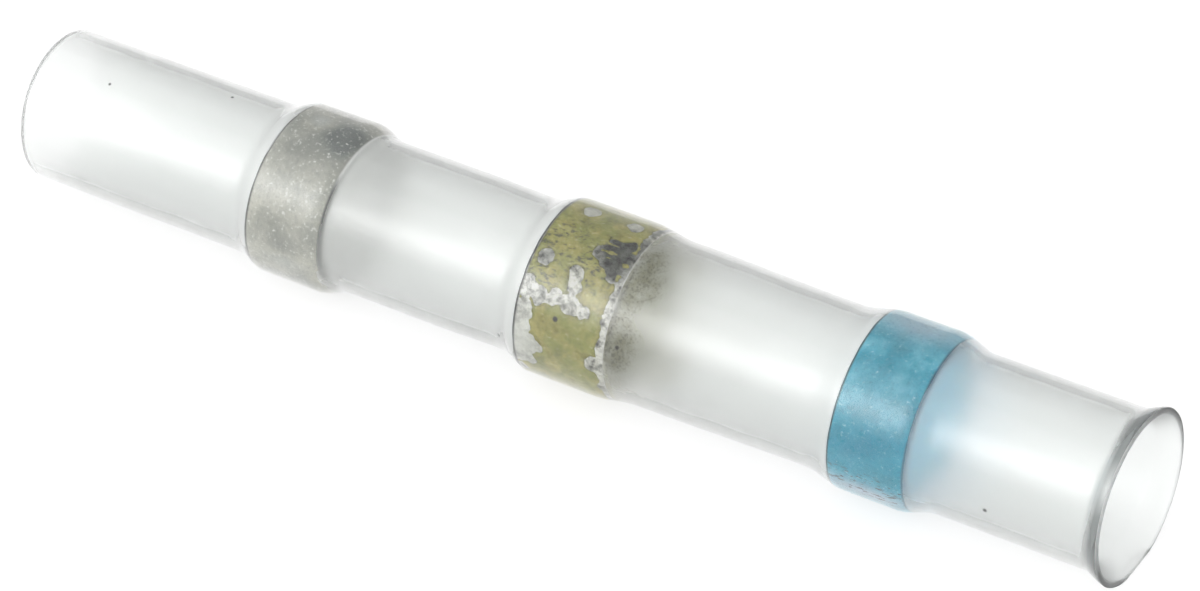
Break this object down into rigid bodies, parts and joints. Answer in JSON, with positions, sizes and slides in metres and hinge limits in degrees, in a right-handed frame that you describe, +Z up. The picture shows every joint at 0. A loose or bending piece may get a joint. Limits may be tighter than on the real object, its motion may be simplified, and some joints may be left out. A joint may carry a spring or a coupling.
{
  "type": "solder seal wire connector",
  "caption": "Translucent heat-shrink sleeve bulging over a solder ring coated with flux and over a grey and a blue hot-melt sealing ring, open at both ends for wires.",
  "frame": {"origin": "centre of the sleeve's overall box: on the wire axis, midway between the two mouths", "axes": "+X along the wire axis, from the grey ring towards the blue ring and the flared mouth; +Z up, with the part lying on its side"},
  "size_m": [0.0404, 0.006, 0.0058],
  "materials": {
    "shrink_sleeve": "translucent, slightly milky, satin",
    "grey_hot_melt": "waxy, satin",
    "solder": "dull silver, satin",
    "flux": "thin olive-yellow resin film",
    "blue_hot_melt": "waxy, satin"
  },
  "bodies": {
    "root": {"heat_shrink_sleeve": "shrink_sleeve", "left_sealing_ring": "grey_hot_melt", "solder_ring": "solder", "flux_coating": "flux", "right_sealing_ring": "blue_hot_melt"}
  },
  "joints": []
}
